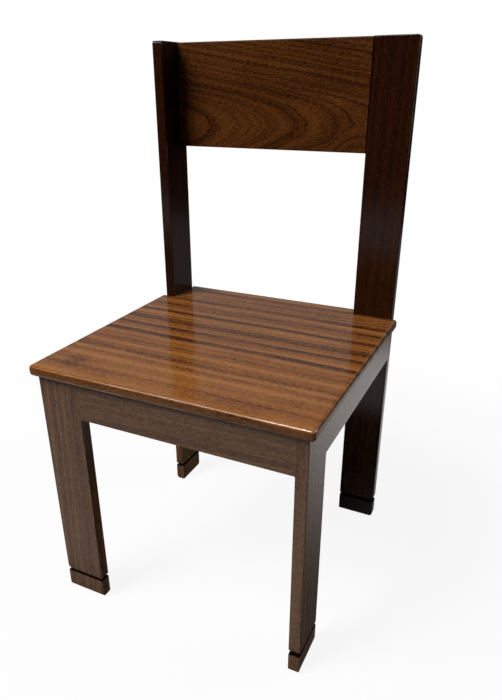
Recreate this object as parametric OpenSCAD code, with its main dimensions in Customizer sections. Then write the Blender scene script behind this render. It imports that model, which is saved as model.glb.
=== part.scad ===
// Choir chair in solid hardwood, standing on the floor at z = 0 and facing -Y, with +X at the
// viewer's right. Four planks of one thickness stand like the vanes of a pinwheel: each lies
// in a side plane of its own, two short ones in front and two tall ones behind. Four aprons butt
// between them, a wide board joins the tall ones at the top, and a notched slab is the seat.
// Each leg stands on a separate foot block with a shadow gap between the two.

/* [Frame] */
// Width of the leg frame from side to side
frame_w = 431; // [400:1:520]
// Depth of the leg frame from front to back
frame_d = 431; // [400:1:520]
// Height of the seat's top face above the floor
seat_h = 430; // [400:1:480]
// Height of the back posts above the floor
post_h = 871.5; // [800:0.5:960]

/* [Planks] */
// Thickness of the legs, posts and aprons
plank_t = 18.2; // [17:0.2:23]
// Width of the two front legs
leg_w = 72; // [62:1:86]
// Width of the two back posts
post_w = 69.5; // [62:0.5:86]
// Height of the aprons under the seat
apron_h = 61.5; // [56:0.5:80]
// Radius that eases the long arrises of the planks
arris_r = 1.4; // [0.8:0.1:2.5]
// Radius of the posts' free top corners
post_corner_r = 4.5; // [3:0.5:12]
// Radius of a leg's lower corner at the outside of the frame
leg_end_r = 6; // [2.5:0.5:10]

/* [Seat] */
// Thickness of the seat slab
seat_t = 17; // [16:0.5:24]
// How far the seat stands out past the frame on all four sides
seat_overhang = 9.5; // [4:0.5:14]
// Radius of the seat's rounded edges
seat_edge_r = 5.5; // [3:0.5:6]
// Radius of the seat's front corners, seen from above
seat_corner_r = 6; // [6:0.5:20]
// Room between the seat's notches and the back posts
notch_clearance = 0.4; // [0.2:0.1:1]

/* [Back rail] */
// Height of the back rail
rail_h = 167.5; // [120:0.5:200]
// Thickness of the back rail
rail_t = 20; // [18:0.5:25]
// How far the rail's top edge lies below the posts' tops
rail_drop = 0.8; // [0:0.2:6]
// Radius that eases the rail's four long arrises
rail_edge_r = 2; // [1:0.1:4]

/* [Feet] */
// Height of a foot block without its neck
foot_h = 35.5; // [28:0.5:50]
// Height of the shadow gap between a foot block and its leg
foot_gap = 5; // [2:0.5:7]
// How far the neck in the gap is set back from the block's two ends
neck_inset = 3; // [3:0.5:6]
// Thickness of the neck's wood on each side of the dowels
neck_wall = 2.5; // [1:0.5:3]
// Radius of a foot's lower edges at the outside of the frame
foot_outer_r = 8; // [4:0.5:10]
// Radius of a foot's lower edges at the inside of the frame
foot_inner_r = 3.5; // [2:0.5:6]

/* [Joinery] */
// Diameter of the dowels
dowel_d = 8; // [6:0.5:9]
// Length of a dowel in the edge of a plank
dowel_edge_depth = 24; // [18:1:28]
// Length of a dowel in the face of a plank
dowel_face_depth = 12; // [9:0.5:13]
// Length of a dowel in a foot block
dowel_foot_depth = 20; // [14:1:24]
// Side of the triangular corner blocks along the frame
block_side = 48; // [42:1:56]
// Height of the corner blocks
block_h = 46; // [42:1:54]
// Shank diameter of the screws
screw_d = 4; // [3:0.5:4.5]
// Length of the screws under the head
screw_len = 25; // [22:0.5:27]

/* [Hidden] */

$fn = 48;
// Overrun of the cuts past the faces they open
cut = 1;
// Room round a dowel or a screw in its bore, on the radius
bore_clearance = 0.05;
// Diameter and thickness of the screw heads, and the room round them in their bores
screw_head_d = 8;
screw_head_h = 2.6;
head_clearance = 0.5;
// Width and depth of the slot across a screw head
slot_w = 1;
slot_depth = 1.2;
// Length of a screw's point
screw_point = 5;
// Wood between a block screw's head and the frame, and between a seat screw's head and the seat
block_grip = 12;
seat_grip = 14;
// Width of the flat that blunts a corner block's three sharp edges
block_flat = 3;
// Chamfer at both ends of a dowel
dowel_chamfer = 1;

// Colours read from the photograph
seat_colour = [0.62, 0.34, 0.15];
rail_colour = [0.48, 0.29, 0.16];
frame_colour = [0.40, 0.26, 0.19];
foot_colour = [0.39, 0.23, 0.17];
inner_colour = [0.66, 0.50, 0.33];
steel_colour = [0.60, 0.60, 0.60];

// Levels above the floor
leg_foot_z = foot_h + foot_gap;
apron_top_z = seat_h - seat_t;
apron_z = apron_top_z - apron_h;
rail_top_z = post_h - rail_drop;
rail_z = rail_top_z - rail_h;

// Shares of the apron's height at which its two dowels lie
apron_dowel_shares = [0.25, 0.75];
// Shares of the rail's height at which its three dowels lie
rail_dowel_shares = [0.15, 0.5, 0.85];
// Shares of a leg's width at which its two foot dowels lie
foot_dowel_shares = [0.25, 0.75];
// Shares of a corner block's side at which its block screws and its seat screw lie, and the share
// of its height, down from its top, at which the block screws lie
block_screw_share = 0.62;
seat_screw_share = 0.27;
screw_drop_share = 0.7;
block_screw_z = apron_top_z - screw_drop_share * block_h;

// The four corners of the frame, in turn: front left, front right, rear right, rear left.
// Side number k runs from corner k to corner k + 1.
corners = [[-frame_w / 2, -frame_d / 2], [frame_w / 2, -frame_d / 2],
           [frame_w / 2, frame_d / 2], [-frame_w / 2, frame_d / 2]];
side_lengths = [frame_w, frame_d, frame_w, frame_d];
plank_widths = [leg_w, leg_w, post_w, post_w];

// Puts its children at corner k: their X runs along side k, away from the corner, and their Y
// runs inwards through the plank
module at_corner(k) {
    translate(corners[k]) rotate(90 * k) children();
}

// Section of a board from its rounded edge at x = 0 to a square end at x = len
module edge_profile(len, thick, edge_r) {
    intersection() {
        square([len, thick]);
        union() {
            translate([0, edge_r]) square([len, thick - 2 * edge_r]);
            if (len > edge_r) translate([edge_r, 0]) square([len - edge_r, thick]);
            for (y = [edge_r, thick - edge_r]) translate([edge_r, y]) circle(edge_r);
        }
    }
}

// Quarter of a board, w by l, lying on the XY plane, with rounded edges along x = 0 and y = 0 and
// a rounded corner where they meet, which is never tighter than the edges
module board_quarter(w, l, thick, corner_r, edge_r) {
    r = max(corner_r, edge_r);
    translate([r, 0, 0]) rotate([90, 0, 90])
        linear_extrude(w - r) edge_profile(l, thick, edge_r);
    translate([0, l, 0]) rotate([90, 0, 0])
        linear_extrude(l - r) edge_profile(r, thick, edge_r);
    translate([r, r, 0]) rotate(180) rotate_extrude(angle = 90)
        translate([r, 0]) mirror([1, 0]) edge_profile(r, thick, edge_r);
}

// End of a board from y = 0 to y = l, where it is cut square. r_near is the corner at x = 0 and
// r_far the corner at x = w
module board_end(w, l, thick, r_near, r_far, edge_r) {
    board_quarter(w / 2, l, thick, r_near, edge_r);
    translate([w, 0, 0]) mirror([1, 0, 0]) board_quarter(w / 2, l, thick, r_far, edge_r);
}

// Whole board with its own radius at each corner, and rounded edges all round
module board(w, l, thick, r_near_low, r_far_low, r_near_high, r_far_high, edge_r) {
    board_end(w, l / 2, thick, r_near_low, r_far_low, edge_r);
    translate([0, l, 0]) mirror([0, 1, 0])
        board_end(w, l / 2, thick, r_near_high, r_far_high, edge_r);
}

// Rectangle with its own radius at each corner, in turn from the origin: near, far, far and high,
// near and high
module rounded_rect(w, h, radii) {
    places = [[0, 0], [w, 0], [w, h], [0, h]];
    difference() {
        square([w, h]);
        for (i = [0 : 3]) translate(places[i]) rotate(90 * i) difference() {
            translate([-cut, -cut]) square(radii[i] + cut);
            translate([radii[i], radii[i]]) circle(radii[i]);
        }
    }
}

// Stands its children up: their Y becomes the height, and their thickness runs along Y from 0
module upright(thick) {
    translate([0, thick, 0]) rotate([90, 0, 0]) children();
}

// Solid of a section in X and Z that is pushed along X: the section's x becomes Y
module along_x(len) {
    rotate([90, 0, 90]) linear_extrude(len) children();
}

// Bore along X from x = 0 to x = len
module bore_x(len, d) {
    rotate([0, 90, 0]) cylinder(h = len, d = d);
}

// Bore along Y from y = 0 to y = len
module bore_y(len, d) {
    rotate([-90, 0, 0]) cylinder(h = len, d = d);
}

// Lower part of a leg, up to the aprons, with all four arrises eased
module leg_shaft(w) {
    translate([0, 0, leg_foot_z]) upright(plank_t)
        board_end(w, apron_z - leg_foot_z, plank_t, leg_end_r, arris_r, arris_r);
}

// The stretch of a leg beside the aprons. Only its arris at the frame's outer corner is eased,
// because the other three lie flush against an apron
module leg_head(w) {
    translate([0, 0, apron_z]) linear_extrude(apron_h) {
        translate([arris_r, 0]) square([w - arris_r, plank_t]);
        translate([0, arris_r]) square([w, plank_t - arris_r]);
        translate([arris_r, arris_r]) circle(arris_r);
    }
}

// The stretch of a post above the aprons, with all four arrises eased
module post_upper(w, outer_r, inner_r) {
    translate([0, 0, post_h]) mirror([0, 0, 1]) upright(plank_t)
        board_end(w, post_h - apron_top_z, plank_t, outer_r, inner_r, arris_r);
}

// Fills the eased arris at x, y along the back rail, so that the joint there is flush
module rail_seam(x, y) {
    translate([x, y, rail_z + rail_edge_r])
        cube([arris_r, arris_r, rail_h - 2 * rail_edge_r]);
}

// Bores that every leg and post has: for the dowels of the apron that starts at its edge, for
// those of the apron that ends on its face, for its two foot dowels and for its block screw
module leg_bores(w) {
    bore_d = dowel_d + 2 * bore_clearance;
    for (share = apron_dowel_shares) {
        translate([w - dowel_edge_depth, plank_t / 2, apron_z + share * apron_h])
            bore_x(dowel_edge_depth + cut, bore_d);
        translate([plank_t / 2, plank_t - dowel_face_depth, apron_z + share * apron_h])
            bore_y(dowel_face_depth + cut, bore_d);
    }
    for (share = foot_dowel_shares)
        translate([share * w, plank_t / 2, leg_foot_z - cut])
            cylinder(h = dowel_edge_depth + cut, d = bore_d);
    translate([plank_t + block_screw_share * block_side, plank_t - (screw_len - block_grip),
               block_screw_z])
        bore_y(screw_len - block_grip + cut, screw_d + 2 * bore_clearance);
}

// Front leg at corner k
module front_leg(k) {
    w = plank_widths[k];
    color(frame_colour) at_corner(k) difference() {
        union() {
            leg_shaft(w);
            leg_head(w);
        }
        leg_bores(w);
    }
}

// Back post at corner k. inner_r is its top corner away from the frame's corner
module back_post(k, inner_r) {
    w = plank_widths[k];
    leg_shaft(w);
    leg_head(w);
    post_upper(w, post_corner_r, inner_r);
}

module front_left_leg() {
    front_leg(0);
}

module front_right_leg() {
    front_leg(1);
}

// The rail starts at this post's edge, with its three dowels in the edge
module rear_right_post() {
    color(frame_colour) at_corner(2) difference() {
        union() {
            back_post(2, arris_r);
            for (y = [0, plank_t - arris_r]) rail_seam(post_w - arris_r, y);
        }
        leg_bores(post_w);
        for (share = rail_dowel_shares)
            translate([post_w - dowel_edge_depth, plank_t / 2, rail_z + share * rail_h])
                bore_x(dowel_edge_depth + cut, dowel_d + 2 * bore_clearance);
    }
}

// The rail ends on this post's face, with its three dowels in the face
module rear_left_post() {
    color(frame_colour) at_corner(3) difference() {
        union() {
            back_post(3, post_corner_r);
            rail_seam(0, plank_t - arris_r);
        }
        leg_bores(post_w);
        for (share = rail_dowel_shares)
            translate([plank_t / 2, plank_t - dowel_face_depth, rail_z + share * rail_h])
                bore_y(dowel_face_depth + cut, dowel_d + 2 * bore_clearance);
    }
}

// Length of the apron on side k, between the edge of plank k and the face of plank k + 1
function apron_len(k) = side_lengths[k] - plank_widths[k] - plank_t;

// Apron on side k, with square ends and its two lower arrises eased
module apron(k) {
    bore_d = dowel_d + 2 * bore_clearance;
    color(frame_colour) at_corner(k) difference() {
        translate([plank_widths[k], 0, apron_z]) along_x(apron_len(k)) {
            translate([0, arris_r]) square([plank_t, apron_h - arris_r]);
            translate([arris_r, 0]) square([plank_t - 2 * arris_r, arris_r]);
            for (y = [arris_r, plank_t - arris_r]) translate([y, arris_r]) circle(arris_r);
        }
        for (share = apron_dowel_shares) {
            translate([plank_widths[k] - cut, plank_t / 2, apron_z + share * apron_h])
                bore_x(dowel_edge_depth + cut, bore_d);
            translate([side_lengths[k] - plank_t - dowel_edge_depth, plank_t / 2,
                       apron_z + share * apron_h])
                bore_x(dowel_edge_depth + cut, bore_d);
        }
        translate([side_lengths[k] - plank_t - block_screw_share * block_side,
                   plank_t - (screw_len - block_grip), block_screw_z])
            bore_y(screw_len - block_grip + cut, screw_d + 2 * bore_clearance);
    }
}

module front_apron() {
    apron(0);
}

module right_apron() {
    apron(1);
}

module rear_apron() {
    apron(2);
}

module left_apron() {
    apron(3);
}

// Wide board between the two posts. Its back is flush with theirs
module back_rail() {
    bore_d = dowel_d + 2 * bore_clearance;
    len = frame_w - post_w - plank_t;
    color(rail_colour) at_corner(2) difference() {
        translate([post_w, 0, rail_z]) along_x(len) {
            translate([rail_edge_r, 0]) square([rail_t - 2 * rail_edge_r, rail_h]);
            translate([0, rail_edge_r]) square([rail_t, rail_h - 2 * rail_edge_r]);
            for (y = [rail_edge_r, rail_t - rail_edge_r], z = [rail_edge_r, rail_h - rail_edge_r])
                translate([y, z]) circle(rail_edge_r);
        }
        for (share = rail_dowel_shares) {
            translate([post_w - cut, plank_t / 2, rail_z + share * rail_h])
                bore_x(dowel_edge_depth + cut, bore_d);
            translate([frame_w - plank_t - dowel_edge_depth, plank_t / 2,
                       rail_z + share * rail_h])
                bore_x(dowel_edge_depth + cut, bore_d);
        }
    }
}

// Seat slab with rounded edges, notched at both rear corners to clear the posts
module seat() {
    w = frame_w + 2 * seat_overhang;
    l = frame_d + 2 * seat_overhang;
    color(seat_colour) difference() {
        translate([-w / 2, -l / 2, apron_top_z])
            board(w, l, seat_t, seat_corner_r, seat_corner_r, seat_corner_r, seat_corner_r,
                  seat_edge_r);
        for (k = [2, 3]) at_corner(k) post_notch(k);
        for (k = [0 : 3]) at_corner(k) translate(seat_screw_place(k))
            cylinder(h = screw_len - seat_grip, d = screw_d + 2 * bore_clearance);
    }
}

// Room that the seat leaves for the post at corner k, open at the sides that lie outside the frame
module post_notch(k) {
    open = seat_overhang + cut;
    translate([-open, -open, apron_top_z - cut])
        cube([open + plank_widths[k] + notch_clearance, open + plank_t + notch_clearance,
              seat_t + 2 * cut]);
}

// Where the seat screw of corner k enters the seat, at the seat's underside
function seat_screw_place(k) =
    [plank_t + seat_screw_share * block_side, plank_t + seat_screw_share * block_side, apron_top_z];

// Foot block, w wide: its lower edges are rounded far more at the frame's outside, where X and Y
// start, than at its inside, and all its other edges are eased
module foot_block(w) {
    lower_and_upper = [foot_outer_r, foot_inner_r, arris_r, arris_r];
    intersection() {
        upright(plank_t) linear_extrude(plank_t) rounded_rect(w, foot_h, lower_and_upper);
        along_x(w) rounded_rect(plank_t, foot_h, lower_and_upper);
        linear_extrude(foot_h) rounded_rect(w, plank_t, [arris_r, arris_r, arris_r, arris_r]);
    }
}

// Foot at corner k, with the set-back neck that keeps the shadow gap open
module foot(k) {
    w = plank_widths[k];
    bore_d = dowel_d + 2 * bore_clearance;
    neck_t = bore_d + 2 * neck_wall;
    color(foot_colour) at_corner(k) difference() {
        union() {
            foot_block(w);
            translate([neck_inset, (plank_t - neck_t) / 2, foot_h - neck_inset])
                cube([w - 2 * neck_inset, neck_t, foot_gap + neck_inset]);
        }
        for (share = foot_dowel_shares)
            translate([share * w, plank_t / 2, foot_h - dowel_foot_depth])
                cylinder(h = dowel_foot_depth + foot_gap + cut, d = bore_d);
    }
}

module front_left_foot() {
    foot(0);
}

module front_right_foot() {
    foot(1);
}

module rear_right_foot() {
    foot(2);
}

module rear_left_foot() {
    foot(3);
}

// Plan of a corner block: a right-angled triangle with its three sharp edges cut flat
module block_plan() {
    flat = block_flat;
    side = block_side;
    polygon([[flat, 0], [side - flat, 0], [side - flat, flat], [flat, side - flat],
             [0, side - flat], [0, flat]]);
}

// Corner block k, glued into the corner under the seat. One screw holds it to the leg, one to
// the apron that ends on the leg, and one goes up through it into the seat
module corner_block(k) {
    head_bore_d = screw_head_d + 2 * head_clearance;
    screw_bore_d = screw_d + 2 * bore_clearance;
    color(inner_colour) at_corner(k) difference() {
        translate([plank_t, plank_t, apron_top_z - block_h]) linear_extrude(block_h) block_plan();
        translate([plank_t, plank_t, block_screw_z]) {
            translate([block_screw_share * block_side, -cut, 0]) {
                bore_y(block_side, screw_bore_d);
                translate([0, cut + block_grip, 0]) bore_y(block_side, head_bore_d);
            }
            translate([-cut, block_screw_share * block_side, 0]) {
                bore_x(block_side, screw_bore_d);
                translate([cut + block_grip, 0, 0]) bore_x(block_side, head_bore_d);
            }
        }
        translate(seat_screw_place(k)) mirror([0, 0, 1]) {
            translate([0, 0, -cut]) cylinder(h = block_h, d = screw_bore_d);
            translate([0, 0, seat_grip]) cylinder(h = block_h, d = head_bore_d);
        }
    }
}

module front_left_corner_block() {
    corner_block(0);
}

module front_right_corner_block() {
    corner_block(1);
}

module rear_right_corner_block() {
    corner_block(2);
}

module rear_left_corner_block() {
    corner_block(3);
}

// Dowel along Z from z = 0, with both ends chamfered
module dowel(len) {
    tip_d = dowel_d - 2 * dowel_chamfer;
    cylinder(h = dowel_chamfer, d1 = tip_d, d2 = dowel_d);
    translate([0, 0, dowel_chamfer]) cylinder(h = len - 2 * dowel_chamfer, d = dowel_d);
    translate([0, 0, len - dowel_chamfer]) cylinder(h = dowel_chamfer, d1 = dowel_d, d2 = tip_d);
}

// Dowels at both ends of a board that starts at x = start and ends at x = end
module end_dowels(start, end, z) {
    translate([start - dowel_edge_depth, plank_t / 2, z]) rotate([0, 90, 0])
        dowel(2 * dowel_edge_depth);
    translate([end - dowel_edge_depth, plank_t / 2, z]) rotate([0, 90, 0])
        dowel(dowel_edge_depth + dowel_face_depth);
}

module apron_dowels() {
    color(inner_colour) for (k = [0 : 3], share = apron_dowel_shares) at_corner(k)
        end_dowels(plank_widths[k], side_lengths[k] - plank_t, apron_z + share * apron_h);
}

module rail_dowels() {
    color(inner_colour) for (share = rail_dowel_shares) at_corner(2)
        end_dowels(post_w, frame_w - plank_t, rail_z + share * rail_h);
}

module foot_dowels() {
    color(inner_colour) for (k = [0 : 3], share = foot_dowel_shares) at_corner(k)
        translate([share * plank_widths[k], plank_t / 2, foot_h - dowel_foot_depth])
            dowel(dowel_foot_depth + foot_gap + dowel_edge_depth);
}

// Wood screw whose head lies on z = 0 and whose point is at z = screw_len, with a slotted head
module screw() {
    translate([0, 0, -screw_head_h]) difference() {
        cylinder(h = screw_head_h, d = screw_head_d);
        translate([-screw_head_d / 2 - cut, -slot_w / 2, -cut])
            cube([screw_head_d + 2 * cut, slot_w, slot_depth + cut]);
    }
    cylinder(h = screw_len - screw_point, d = screw_d);
    translate([0, 0, screw_len - screw_point]) cylinder(h = screw_point, d1 = screw_d, d2 = 0);
}

module corner_block_screws() {
    color(steel_colour) for (k = [0 : 3]) at_corner(k)
        translate([plank_t, plank_t, block_screw_z]) {
            translate([block_screw_share * block_side, block_grip, 0]) rotate([90, 0, 0]) screw();
            translate([block_grip, block_screw_share * block_side, 0]) rotate([0, -90, 0]) screw();
        }
}

module seat_screws() {
    color(steel_colour) for (k = [0 : 3]) at_corner(k) translate(seat_screw_place(k))
        translate([0, 0, -seat_grip]) screw();
}

seat();
front_left_leg();
front_right_leg();
rear_right_post();
rear_left_post();
front_apron();
right_apron();
rear_apron();
left_apron();
back_rail();
front_left_foot();
front_right_foot();
rear_right_foot();
rear_left_foot();
front_left_corner_block();
front_right_corner_block();
rear_right_corner_block();
rear_left_corner_block();
apron_dowels();
rail_dowels();
foot_dowels();
corner_block_screws();
seat_screws();
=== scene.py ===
"""Finished look of a solid-wood choir chair, made round its construction model.

The boards, feet and dowels are made anew with eased edges and flutes. The corner blocks and the
screws keep the construction model's shape. Lengths are in metres, +Z is up, the chair faces -Y.
"""

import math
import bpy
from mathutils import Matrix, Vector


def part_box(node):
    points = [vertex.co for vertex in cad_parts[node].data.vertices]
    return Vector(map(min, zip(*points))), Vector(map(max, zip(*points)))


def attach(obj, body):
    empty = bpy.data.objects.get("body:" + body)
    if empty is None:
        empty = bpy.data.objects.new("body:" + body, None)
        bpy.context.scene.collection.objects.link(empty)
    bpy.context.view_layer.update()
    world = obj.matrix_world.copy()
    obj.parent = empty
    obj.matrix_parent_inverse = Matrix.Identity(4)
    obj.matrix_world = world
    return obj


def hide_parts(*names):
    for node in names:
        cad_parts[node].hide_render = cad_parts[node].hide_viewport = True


bl_info = {
    "name": "Choir Chair Finish",
    "version": (1, 0, 0),
    "blender": (4, 5, 0),
    "location": "View3D > Sidebar > Choir Chair",
    "description": "Makes the boards, feet and dowels of a choir chair, and all its finishes",
    "category": "Add Mesh",
}

import bmesh
import bpy
from bpy.props import FloatProperty, FloatVectorProperty, IntProperty, PointerProperty
from mathutils import Matrix, Quaternion, Vector

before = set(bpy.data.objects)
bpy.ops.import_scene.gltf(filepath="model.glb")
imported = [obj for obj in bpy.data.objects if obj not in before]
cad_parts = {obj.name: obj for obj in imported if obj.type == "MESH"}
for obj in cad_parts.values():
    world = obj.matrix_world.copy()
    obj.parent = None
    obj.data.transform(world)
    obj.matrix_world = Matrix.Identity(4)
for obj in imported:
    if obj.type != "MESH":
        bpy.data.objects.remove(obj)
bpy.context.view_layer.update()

# Sizes that the construction model gives. Corners and sides are numbered anticlockwise from the
# front left, seen from above, and side k runs from corner k
LEG_LOW, LEG_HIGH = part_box("front_left_leg")
POST_LOW, POST_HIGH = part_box("rear_right_post")
APRON_LOW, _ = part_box("front_apron")
RAIL_LOW, RAIL_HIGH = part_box("back_rail")
SEAT_LOW, SEAT_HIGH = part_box("seat")
PLANK = LEG_HIGH.y - LEG_LOW.y
LEG_BASE, APRON_BASE, SEAT_BASE, POST_TOP = LEG_LOW.z, APRON_LOW.z, SEAT_LOW.z, POST_HIGH.z
CORNERS = [
    (LEG_LOW.x, LEG_LOW.y),
    (POST_HIGH.x, LEG_LOW.y),
    (POST_HIGH.x, POST_HIGH.y),
    (LEG_LOW.x, POST_HIGH.y),
]
CORNER_NAMES = ["front_left", "front_right", "rear_right", "rear_left"]
REAR_RIGHT, REAR_LEFT = 2, 3
SIDE_LENGTHS = [POST_HIGH.x - LEG_LOW.x, POST_HIGH.y - LEG_LOW.y] * 2
PLANK_WIDTHS = [LEG_HIGH.x - LEG_LOW.x] * 2 + [POST_HIGH.x - POST_LOW.x] * 2
UP, ALONG_X, ALONG_Y = (0, 0, 1), (1, 0, 0), (0, 1, 0)
SIDE_AXES = [ALONG_X, ALONG_Y] * 2

# Steps of the arcs, and the longest stretch between two points of an outline
ARC_STEPS = 6
STRETCH = 0.012
# Width of the flat strips beside an arc, which keep the flat faces flat when they are smoothed
STRIP = 0.0004
# Edges that turn more than this are shown sharp
SHARP_TURN = math.radians(38)
# Points closer than this are one, and a face smaller than this has no say in the smoothing
WELD = 0.00001
NO_AREA = 1e-9
# How fast the hand sanding's waves follow one another, in waves a metre
SWAY_SCALE = 60.0


def tone(red, green, blue):
    """Linear colour for an 8-bit display colour."""
    def linear(level):
        share = level / 255
        return share / 12.92 if share <= 0.04045 else ((share + 0.055) / 1.055) ** 2.4
    return tuple(linear(level) for level in (red, green, blue))


def number(name, description, default, **settings):
    """Property that holds a number."""
    return FloatProperty(name=name, description=description, default=default, **settings)


def length(name, description, default):
    """Property that holds a length."""
    return number(name, description, default, unit="LENGTH", precision=5)


def numbers(name, description, default, **settings):
    """Property that holds a few numbers."""
    settings.update(name=name, description=description, default=default, size=len(default))
    return FloatVectorProperty(**settings)


def colour(name, description, levels):
    """Property that holds a colour, given by its 8-bit display levels."""
    return numbers(name, description, tone(*levels), subtype="COLOR", min=0, max=1)


class ChairSizes(bpy.types.PropertyGroup):
    """Radii, gaps and depths that the finished boards, feet and dowels have"""
    arris: length("Arris", "Radius that eases the planks' long edges", 0.0014)
    seat_edge: length("Seat edge", "Radius of the seat's rounded edges", 0.0055)
    seat_corner: length("Seat corner", "Radius of the seat's front corners, seen from above", 0.006)
    notch_ease: length("Notch ease", "Radius that eases the edges of the seat's notches", 0.0004)
    notch_room: length("Notch room", "Room between the seat's notches and the posts", 0.0004)
    rail_edge: length("Rail edge", "Radius that eases the back rail's four long edges", 0.002)
    post_corner: length("Post corner", "Radius of the posts' free top corners", 0.0045)
    leg_end: length("Leg end", "Radius of a leg's lower outer corner", 0.006)
    fade: length("Fade", "Length over which an eased edge runs out beside a joint", 0.003)
    wobble: length("Wobble", "How far hand sanding strays along the eased edges", 0.00012)
    foot_gap: length("Foot gap", "Height of the shadow gap above a foot", 0.005)
    foot_outer: length("Foot outer", "Radius of a foot's lower edges at the frame's outside", 0.008)
    foot_inner: length("Foot inner", "Radius of a foot's lower edges at the frame's inside", 0.0035)
    neck_inset: length("Neck inset", "How far a foot's neck is set back from its ends", 0.003)
    neck_width: length("Neck width", "Thickness of a foot's neck", 0.0131)
    dowel_width: length("Dowel width", "Diameter of the dowels", 0.008)
    dowel_edge: length("Dowel in an edge", "Length of a dowel in the edge of a plank", 0.024)
    dowel_face: length("Dowel in a face", "Length of a dowel in the face of a plank", 0.012)
    dowel_foot: length("Dowel in a foot", "Length of a dowel in a foot block", 0.020)
    flute_depth: length("Flute depth", "Depth of the flutes along a dowel", 0.0003)
    flutes: IntProperty(name="Flutes", description="Number of flutes round a dowel", default=14)


# Tones of each wood, in 8-bit display levels. The frame wood is that of the legs and aprons, and
# the bare wood that of the dowels and corner blocks. The post wood's darker tones paint the shade
# on the back posts
TONE_NAMES = ("light", "middle", "dark")
WOOD_TONES = {
    "seat": ((146, 98, 52), (122, 73, 32), (58, 31, 17)),
    "frame": ((98, 72, 49), (80, 54, 34), (54, 32, 18)),
    "post": ((46, 20, 7), (33, 12, 3), (22, 6, 2)),
    "rail": ((84, 48, 17), (64, 33, 9), (32, 13, 4)),
    "foot": ((100, 75, 53), (84, 59, 41), (60, 38, 26)),
    "bare": ((196, 160, 116), (176, 138, 94), (146, 108, 70)),
}


class ChairColours(bpy.types.PropertyGroup):
    """Colours of the woods and the metal"""
    steel: colour("Steel", "Colour of the screws", (196, 196, 192))


# Each tone of each wood is a colour property too, such as seat_light
ChairColours.__annotations__.update({
    f"{wood}_{part}": colour(f"{wood}, {part}".capitalize(), f"The {part} tone of the {wood} wood", levels)
    for wood, tones in WOOD_TONES.items() for part, levels in zip(TONE_NAMES, tones)})


class ChairStage(bpy.types.PropertyGroup):
    """Camera, light and floor"""
    lens: number("Lens", "Focal length of the camera in millimetres", 31.694)
    camera_place: numbers("Camera", "Where the camera stands", (0.42343, -0.83213, 0.80757),
                          subtype="TRANSLATION", unit="LENGTH")
    camera_aim: numbers("Aim", "Direction in which the camera looks", (-0.39384, 0.81711, -0.42098),
                        subtype="DIRECTION")
    shift: numbers("Shift", "Sideways and upward shift of the lens, as shares of the picture's height",
                   (0.0102, 0.0268))
    roll: number("Roll", "How far the camera is tipped sideways", -0.004, subtype="ANGLE")
    key_power: number("Key", "Power of the main light in watts", 405)
    key_gloss: number("Key gloss", "Power with which gloss shows the main light", 130)
    window_gloss: number("Window gloss", "Power with which gloss shows a window", 225)
    fill_power: number("Fill", "Power of the weak light in watts", 42)
    ambient: number("Ambient", "Strength of the even light all round", 0.04)
    floor: colour("Floor", "Colour of the floor", (212, 212, 210))


class Signal:
    """Number, vector, colour or geometry that a node gives. Sums with it make further nodes."""

    def __init__(self, graph, socket):
        self.graph = graph
        self.socket = socket

    def result(self, operation, *values):
        """Result of a calculation, with vectors where this signal is a vector or a colour."""
        if self.socket.type in {"VECTOR", "RGBA"}:
            return self.graph.get("ShaderNodeVectorMath", dict(enumerate(values)), operation=operation)
        return self.graph.math(operation, *values)

    def __add__(self, other):
        return self.result("ADD", self, other)

    def __sub__(self, other):
        return self.result("SUBTRACT", self, other)

    def __rsub__(self, other):
        return self.result("SUBTRACT", other, self)

    def __mul__(self, other):
        return self.result("MULTIPLY", self, other)

    def __truediv__(self, other):
        return self.result("DIVIDE", self, other)

    def __rtruediv__(self, other):
        return self.result("DIVIDE", other, self)

    def __pow__(self, other):
        return self.result("POWER", self, other)

    def __abs__(self):
        return self.result("ABSOLUTE", self)

    def stretch(self, low, high, new_low=0.0, new_high=1.0):
        """This number moved smoothly from one range to another."""
        inputs = dict(enumerate((self, low, high, new_low, new_high)))
        return self.graph.get("ShaderNodeMapRange", inputs, interpolation_type="SMOOTHSTEP")


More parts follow.
